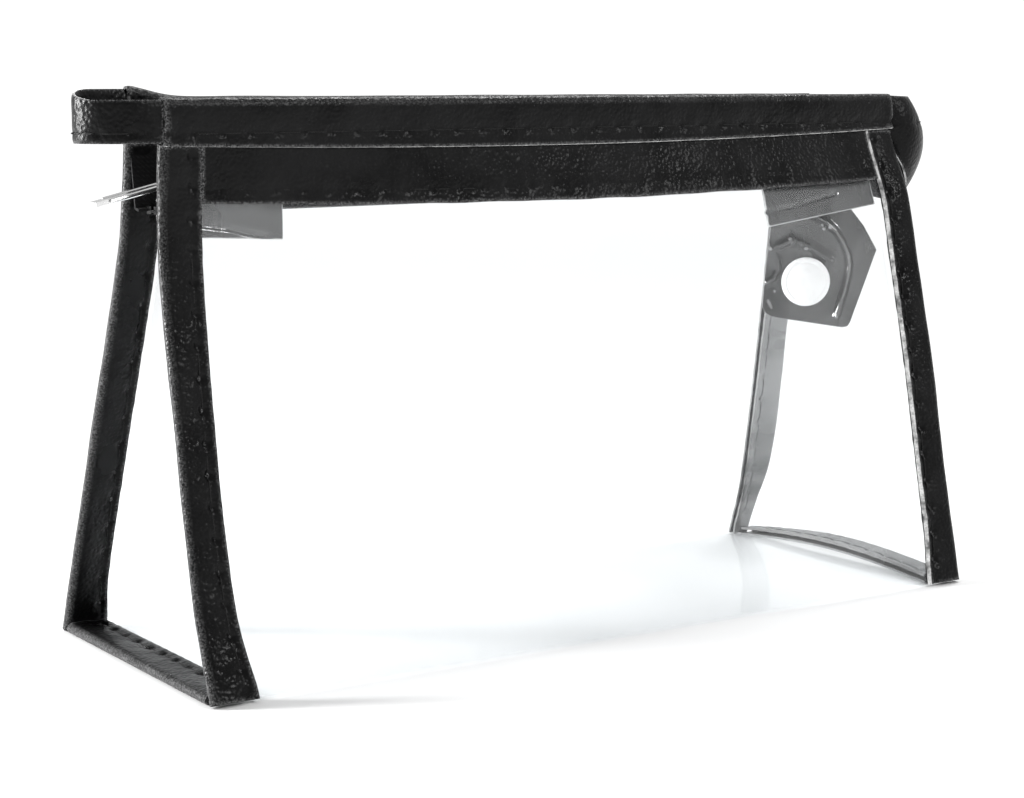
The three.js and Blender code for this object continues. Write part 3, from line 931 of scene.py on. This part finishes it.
def zip_teeth():
    """Each side is a coil of nylon loops, set half a pitch apart so that they mesh."""
    pitch = 1.3
    count = int(2 * ZIP_HALF / pitch)
    section = [(-0.5, 0.35), (-0.28, 0.75), (0.28, 0.75), (0.5, 0.35),
               (0.5, -0.35), (0.28, -0.75), (-0.28, -0.75), (-0.5, -0.35)]
    reach = [(2.35, 0.6), (2.2, 0.95), (1.2, 0.9), (0.3, 1.05), (-0.05, 1.1), (-0.22, 0.7)]
    for word, side in [("front", -1), ("back", 1)]:
        points, faces = [], []
        for k in range(count):
            middle = -ZIP_HALF + pitch * (k + (0.75 if side > 0 else 0.25))
            start = len(points)
            for y, size in reach:
                for sx, sz in section:
                    points.append(from_zip(middle + sx * size * 0.48, side * y, sz * size * 0.95))
            n = len(section)
            for r in range(len(reach) - 1):
                for j in range(n):
                    a, b = start + r * n + j, start + r * n + (j + 1) % n
                    faces.append((a, b, b + n, a + n))
            end = start + (len(reach) - 1) * n
            faces.append(tuple(start + j for j in reversed(range(n))))
            faces.append(tuple(end + j for j in range(n)))
        row = make_mesh(f"zip_teeth_{word}_coil", points, faces, [MATERIALS["teeth"]], sharp=40)
        finish_piece(row, "bag", "teeth", f"zip_teeth_{word}")


def zip_tails():
    """The tape runs on past the ends of the zip, and hangs between the mouth and the front panel."""
    tails = [
        ("left", 0.2 - HALF_BODY, -74, 92, 91, 61, [[-93, 94.6], [-86, 93.6], [-77, 91.4]]),
        ("right", HALF_BODY - 1, 57, 93.5, 89, 67, [[57, 92.5], [66, 93.6], [80, 96.5]]),
    ]
    top, behind = 103, -1.3
    for name, start, end, low_start, low_end, seed, creased in tails:
        lows = (low_start, low_end)

        def at(u, v, w, start=start, end=end, lows=lows, seed=seed, creased=creased):
            x = mix(start, end, u)
            z = mix(mix(*lows, u), top, v)
            wave = 0.22 * waves(x, z, seed, 13) * (1 - v)
            crease = -0.55 * bell(from_line(x, z, creased), 0.55)
            return on_front(x, z, behind + w * TAPE + wave + crease)

        tail = board(f"zip_tail_{name}_cloth", 80, 34, at, [MATERIALS["tail"]])
        finish_piece(tail, "bag", "tape", f"zip_tail_{name}")


def metal_parts():
    names = {
        "zip_slider": "steel", "zip_pull": "steel", "zip_pull_tip": "steel",
        "zip_top_stop_front": "stop", "zip_top_stop_back": "stop", "zip_bottom_stop": "stop",
    }
    for name, finish in names.items():
        node = frame["nodes"][name]
        node.data.materials.clear()
        node.data.materials.append(MATERIALS[finish])
        bevel = node.modifiers.new("rounded_edges", "BEVEL")
        bevel.width = 0.00012
        bevel.segments = 2
        bevel.limit_method = "ANGLE"
        bevel.angle_limit = math.radians(40)


# ---------------------------------------------------------------- inner tab and its press stud

TAB_MIDDLE = np.array([80.8, -11.2, 0])
TAB_YAW = math.radians(-30)
TAB_ALONG = np.array([math.cos(TAB_YAW), math.sin(TAB_YAW), 0])
TAB_ACROSS = np.array([-math.sin(TAB_YAW), math.cos(TAB_YAW), 0])
STUD = (-5.3, 74.2)


def from_tab(x, y, z):
    x, y, z = (np.asarray(k, float)[..., None] for k in (x, y, z))
    return TAB_MIDDLE + x * TAB_ALONG + y * TAB_ACROSS + z * UP


def polyline(points):
    """Points by share of length along a broken line."""
    pts = np.array(points, float)
    length = np.concatenate([[0], np.cumsum(np.linalg.norm(np.diff(pts, axis=0), axis=1))])
    return lambda t: np.stack([np.interp(t * length[-1], length, pts[:, k]) for k in (0, 1)], -1)


def from_line(x, z, points):
    """Distance of (x, z) from a broken line."""
    best = np.full(np.shape(x), 1e9)
    for (ax, az), (bx, bz) in zip(points, points[1:]):
        dx, dz = bx - ax, bz - az
        t = np.clip(((x - ax) * dx + (z - az) * dz) / (dx * dx + dz * dz), 0, 1)
        best = np.minimum(best, np.hypot(x - ax - t * dx, z - az - t * dz))
    return best


def inner_tab():
    left = polyline([[-16, 68], [-14.6, 84], [-13.8, 94.4]])
    right = polyline([[6.3, 64], [12.6, 82], [9.2, 88], [4.2, 94.4]])
    foot = polyline([[-16, 68], [-15.2, 66.3], [-13.6, 65.4], [-11.4, 65], [4.2, 62.6], [5.6, 62.9],
                     [6.3, 64]])
    head = polyline([[-13.8, 94.4], [4.2, 94.4]])
    ridge = [[-3.5, 90.5], [-0.5, 89], [1.8, 86.8], [3.8, 84], [5.1, 81], [5.6, 78], [5.2, 75],
             [4.4, 71.5], [2.6, 65.5]]
    fold = [[-15.4, 84], [-13.6, 82], [-12.4, 79.5], [-12.2, 77], [-13.2, 75], [-14.8, 74]]
    roll = [[-12, 83], [-9, 84.5], [-4, 82.5], [1, 79.5]]
    brow = [[-13, 88.5], [-8, 90.2], [-3.5, 90.5]]

    def at(u, v, w):
        p = ((1 - v)[..., None] * foot(u) + v[..., None] * head(u)
             + (1 - u)[..., None] * left(v) + u[..., None] * right(v))
        corners = ((1 - u) * (1 - v), u * (1 - v), (1 - u) * v, u * v)
        ends = ([-16, 68], [6.3, 64], [-13.8, 94.4], [4.2, 94.4])
        for share, end in zip(corners, ends):
            p = p - share[..., None] * np.array(end, float)
        x, z = p[..., 0], p[..., 1]
        creases = 1.7 * bell(from_line(x, z, ridge), 0.85) + 1.2 * bell(from_line(x, z, fold), 0.8)
        creases = creases + 1.1 * bell(from_line(x, z, roll), 1.0) + 0.8 * bell(from_line(x, z, brow), 0.7)
        by_stud = 1 - bell(np.hypot(x - STUD[0], z - STUD[1]), 7.5)
        loose = 0.5 * waves(x, z, 71, 14)
        y = -FILM / 2 - w * FILM - by_stud * (creases + loose)
        return from_tab(x, y, z)

    tab = board("inner_tab_film", 96, 108, at, [MATERIALS["flap"]])
    finish_piece(tab, "tab", "vinyl", "inner_tab")


def press_stud():
    towards = -TAB_ACROSS
    x, z = STUD
    cap_foot = from_tab(x, -FILM - 0.3, z)
    cap = [(0, 0), (4.6, 0), (5.7, 0.15), (6.1, 0.55), (6.0, 0.95), (5.6, 1.2), (5.1, 1.28),
           (4.8, 1.22), (4.5, 1.36), (3.2, 1.62), (1.6, 1.76), (0, 1.8)]
    button = lathe("stud_cap_moulding", cap, cap_foot, towards, [MATERIALS["cap"]])
    finish_piece(button, "tab", "cap", "stud_cap")
    socket_foot = from_tab(x, 0.3, z)
    socket = [(0, 0), (4.3, 0), (4.575, 0.2), (4.5, 0.5), (3.4, 0.7), (2.7, 1.1), (2.2, 1.2),
              (1.8, 1.1), (1.5, 0.5), (0, 0.4)]
    ring = lathe("stud_socket_moulding", socket, socket_foot, -towards, [MATERIALS["cap"]])
    finish_piece(ring, "tab", "cap", "stud_socket")


# ---------------------------------------------------------------- stage

def camera():
    lens = bpy.data.cameras.new("camera")
    lens.sensor_width = 36
    lens.lens = 77.58
    lens.clip_start, lens.clip_end = 0.01, 50
    holder = bpy.data.objects.new("camera", lens)
    bpy.context.scene.collection.objects.link(holder)
    right, up, back = (0.8321, -0.5546, 0.0), (0.0786, 0.1180, 0.9899), (-0.5490, -0.8237, 0.1418)
    turn = Matrix((right, up, back)).transposed()
    holder.matrix_world = Matrix.Translation((-0.28855, -0.42437, 0.12310)) @ turn.to_4x4()
    bpy.context.scene.camera = holder


def area_light(name, place, target, size, power):
    light = bpy.data.lights.new(name, "AREA")
    light.shape = "RECTANGLE"
    light.size, light.size_y = size
    light.energy = power
    holder = bpy.data.objects.new(name, light)
    holder.location = place
    holder.rotation_euler = (Vector(target) - Vector(place)).to_track_quat("-Z", "Y").to_euler()
    bpy.context.scene.collection.objects.link(holder)


def world():
    """Bright all round, a little dimmer half way up, so that the gloss has something to mirror."""
    surroundings = bpy.data.worlds.new("studio")
    surroundings.use_nodes = True
    tree = surroundings.node_tree
    tree.nodes.clear()
    where = tree.nodes.new("ShaderNodeTexCoord")
    split = tree.nodes.new("ShaderNodeSeparateXYZ")
    tree.links.new(where.outputs["Generated"], split.inputs[0])
    ramp = tree.nodes.new("ShaderNodeValToRGB")
    stops = ramp.color_ramp.elements
    stops[0].position, stops[0].color = 0.0, (1.0, 1.0, 1.0, 1)
    stops[1].position, stops[1].color = 1.0, (0.9, 0.9, 0.9, 1)
    for position, shade in [(0.25, 1.0), (0.45, 0.7)]:
        stops.new(position).color = (shade, shade, shade, 1)
    tree.links.new(split.outputs["Z"], ramp.inputs["Fac"])
    path = tree.nodes.new("ShaderNodeLightPath")
    lit = tree.nodes.new("ShaderNodeBackground")
    tree.links.new(ramp.outputs["Color"], lit.inputs["Color"])
    lit.inputs["Strength"].default_value = 0.74
    seen = tree.nodes.new("ShaderNodeBackground")
    seen.inputs["Color"].default_value = (1, 1, 1, 1)
    seen.inputs["Strength"].default_value = 1.1
    choose = tree.nodes.new("ShaderNodeMixShader")
    tree.links.new(path.outputs["Is Camera Ray"], choose.inputs[0])
    tree.links.new(lit.outputs[0], choose.inputs[1])
    tree.links.new(seen.outputs[0], choose.inputs[2])
    output = tree.nodes.new("ShaderNodeOutputWorld")
    tree.links.new(choose.outputs[0], output.inputs["Surface"])
    bpy.context.scene.world = surroundings


def floor():
    size = 8.0
    mesh = bpy.data.meshes.new("floor")
    corners = [(-size, -size, 0), (size, -size, 0), (size, size, 0), (-size, size, 0)]
    mesh.from_pydata(corners, [], [(0, 1, 2, 3)])
    mesh.materials.append(floor_material())
    ground = bpy.data.objects.new("floor", mesh)
    bpy.context.scene.collection.objects.link(ground)


def sun():
    """A wide soft lamp over the back right shoulder: the shadow falls forward and to the left."""
    light = bpy.data.lights.new("sun", "SUN")
    light.energy = 1.45
    light.angle = math.radians(18)
    holder = bpy.data.objects.new("sun", light)
    holder.rotation_euler = Vector((-0.62, -0.38, -1.0)).to_track_quat("-Z", "Y").to_euler()
    bpy.context.scene.collection.objects.link(holder)


def stage():
    camera()
    sun()
    floor()
    world()
    area_light("left_strip", (-0.68, 0.36, 0.22), (-0.1, 0, 0.08), (0.12, 0.40), 12)
    area_light("front_fill", (0.55, -1.0, 0.8), (0, 0, 0.06), (0.3, 0.2), 5)
    scene = bpy.context.scene
    scene.view_settings.view_transform = "Standard"
    scene.cycles.transparent_max_bounces = 48


stage()
main_panels()
base_panel()
end_panels()
leg_bindings()
base_bindings()
bands()
trims()
loops()
zip_tapes()
zip_teeth()
zip_tails()
metal_parts()
inner_tab()
press_stud()
